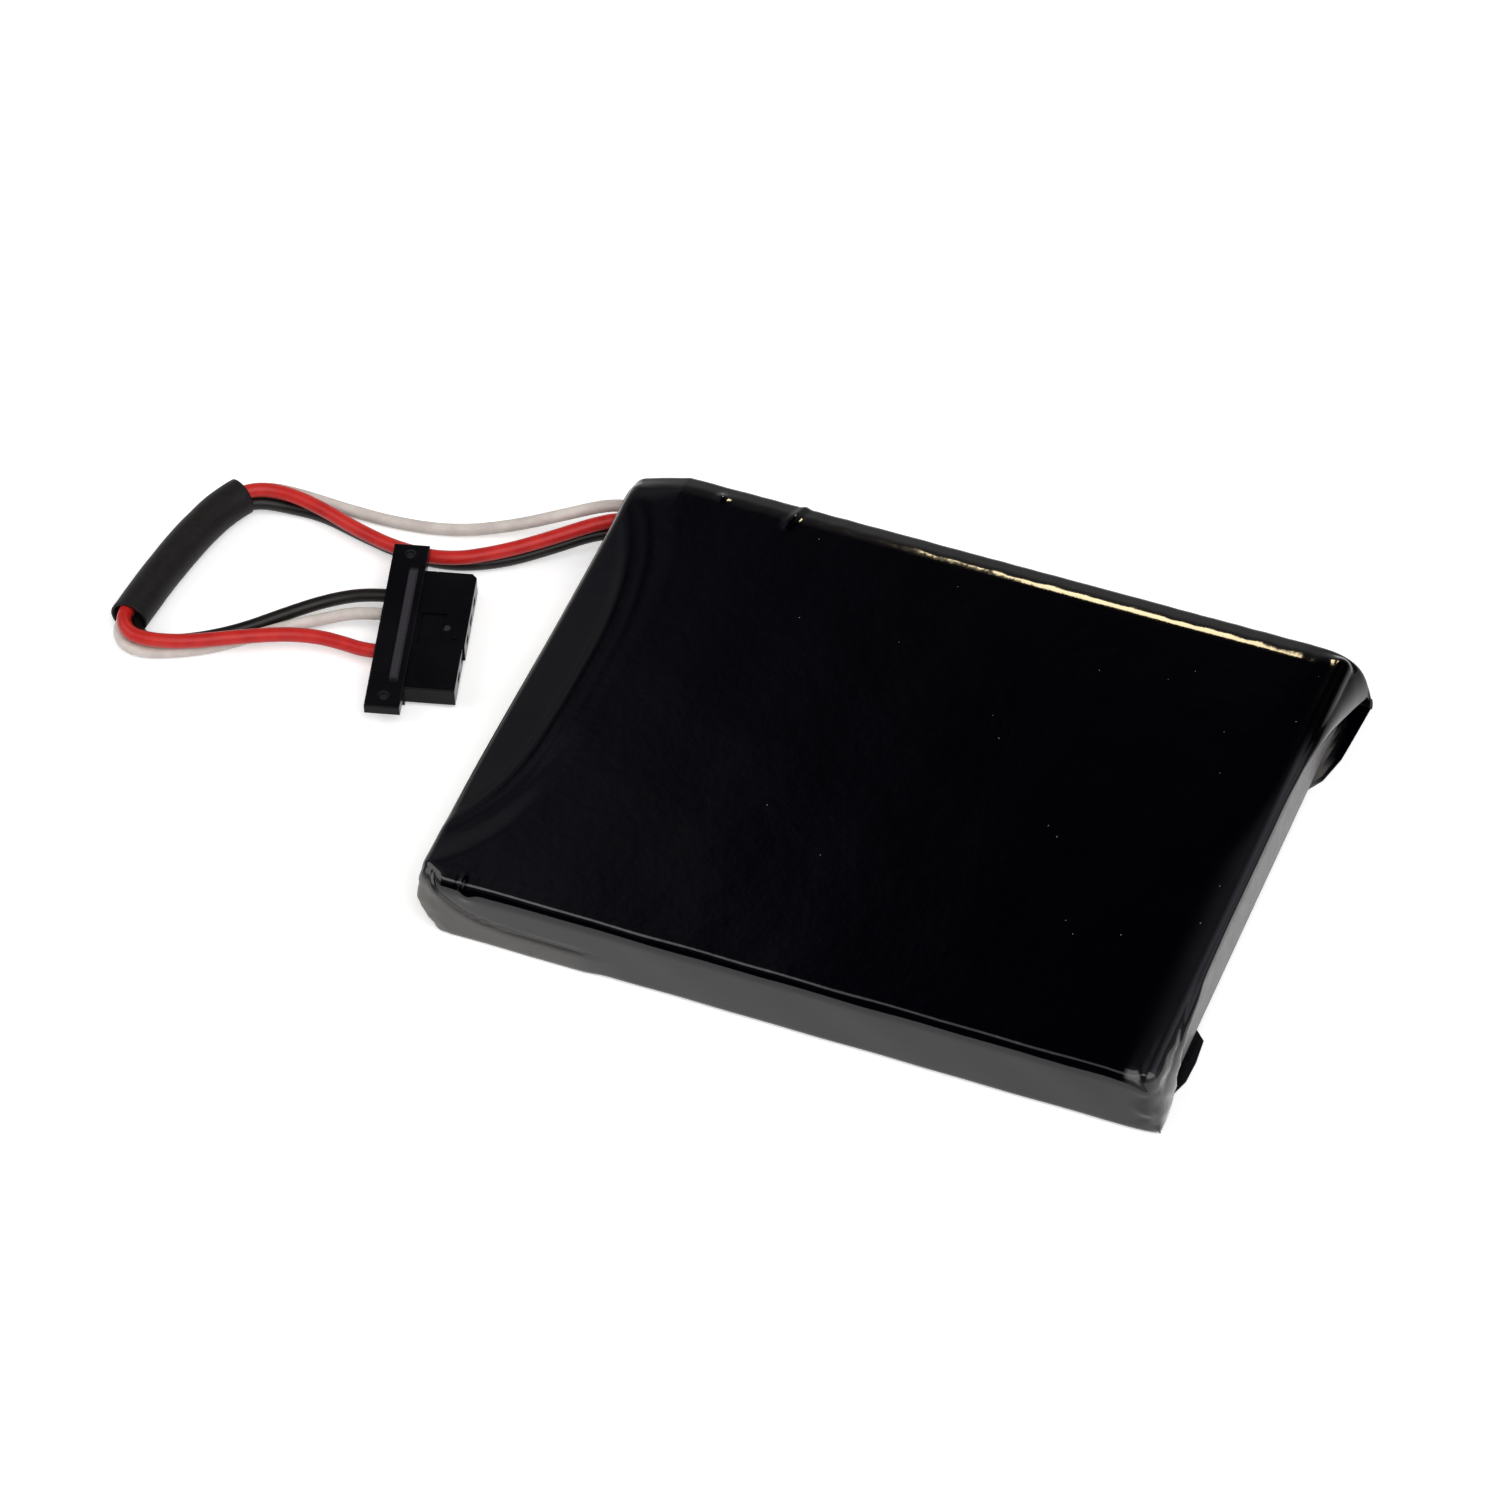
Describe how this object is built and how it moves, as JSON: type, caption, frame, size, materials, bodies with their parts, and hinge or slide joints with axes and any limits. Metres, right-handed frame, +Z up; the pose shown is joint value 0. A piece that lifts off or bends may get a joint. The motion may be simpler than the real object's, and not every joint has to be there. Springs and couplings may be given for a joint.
{
  "type": "lipo battery pack",
  "caption": "Flat single-cell lithium-polymer pouch battery in a glossy black film sleeve, with a protection board, three short leads and a slim plug.",
  "frame": {"origin": "centre of the pack's underside, without the free leads, their sleeve and the connector", "axes": "+X along the pack's length towards the open end of the film, +Y across it towards the side where the leads leave, +Z up"},
  "size_m": [0.0812, 0.041, 0.0049],
  "materials": {
    "black_film": "glossy black heat-shrunk film, faintly bluish",
    "pouch_laminate": "dull warm grey aluminium laminate",
    "anode": "graphite on copper foil, dull dark grey",
    "cathode": "lithium oxide coating on aluminium foil, dark grey",
    "separator": "thin white porous film",
    "core_tape": "thin green polyester tape",
    "nickel": "plain nickel strip",
    "tab_aluminium": "plain aluminium strip",
    "sealant": "milky polypropylene sealant film",
    "insulating_tape": "amber polyimide tape",
    "board_laminate": "green solder mask on glass-fibre board",
    "chip_package": "black moulded package with tinned pins",
    "chip_resistor": "black glazed chip",
    "chip_ceramic": "tan ceramic chip",
    "solder": "bright tin solder",
    "tinned_copper": "bare tinned strands",
    "red_insulation": "satin red insulation",
    "black_insulation": "satin black insulation",
    "white_insulation": "satin off-white insulation",
    "sleeve": "dull black sleeving",
    "connector_plastic": "dull black moulded plastic",
    "contact_metal": "tin-plated bronze"
  },
  "bodies": {
    "root": {"wrap_film": "black_film", "pouch": "pouch_laminate", "anode_strip": "anode", "cathode_strip": "cathode", "separator_strips": "separator", "core_tape": "core_tape", "negative_tab": "nickel", "positive_tab": "tab_aluminium", "tab_seals": "sealant", "terrace_tape": "insulating_tape", "protection_board": "board_laminate", "weld_plates": "nickel", "mosfet_pair": "chip_package", "protection_ic": "chip_package", "chip_resistors": "chip_resistor", "chip_capacitors": "chip_ceramic", "thermistor": "chip_resistor", "board_tape": "insulating_tape", "solder_joints": "solder", "board_strands": "tinned_copper", "crimped_strands": "tinned_copper", "red_lead": "red_insulation", "black_lead": "black_insulation", "white_lead": "white_insulation", "lead_sleeve": "sleeve", "connector_housing": "connector_plastic", "crimp_contacts": "contact_metal"}
  },
  "joints": []
}
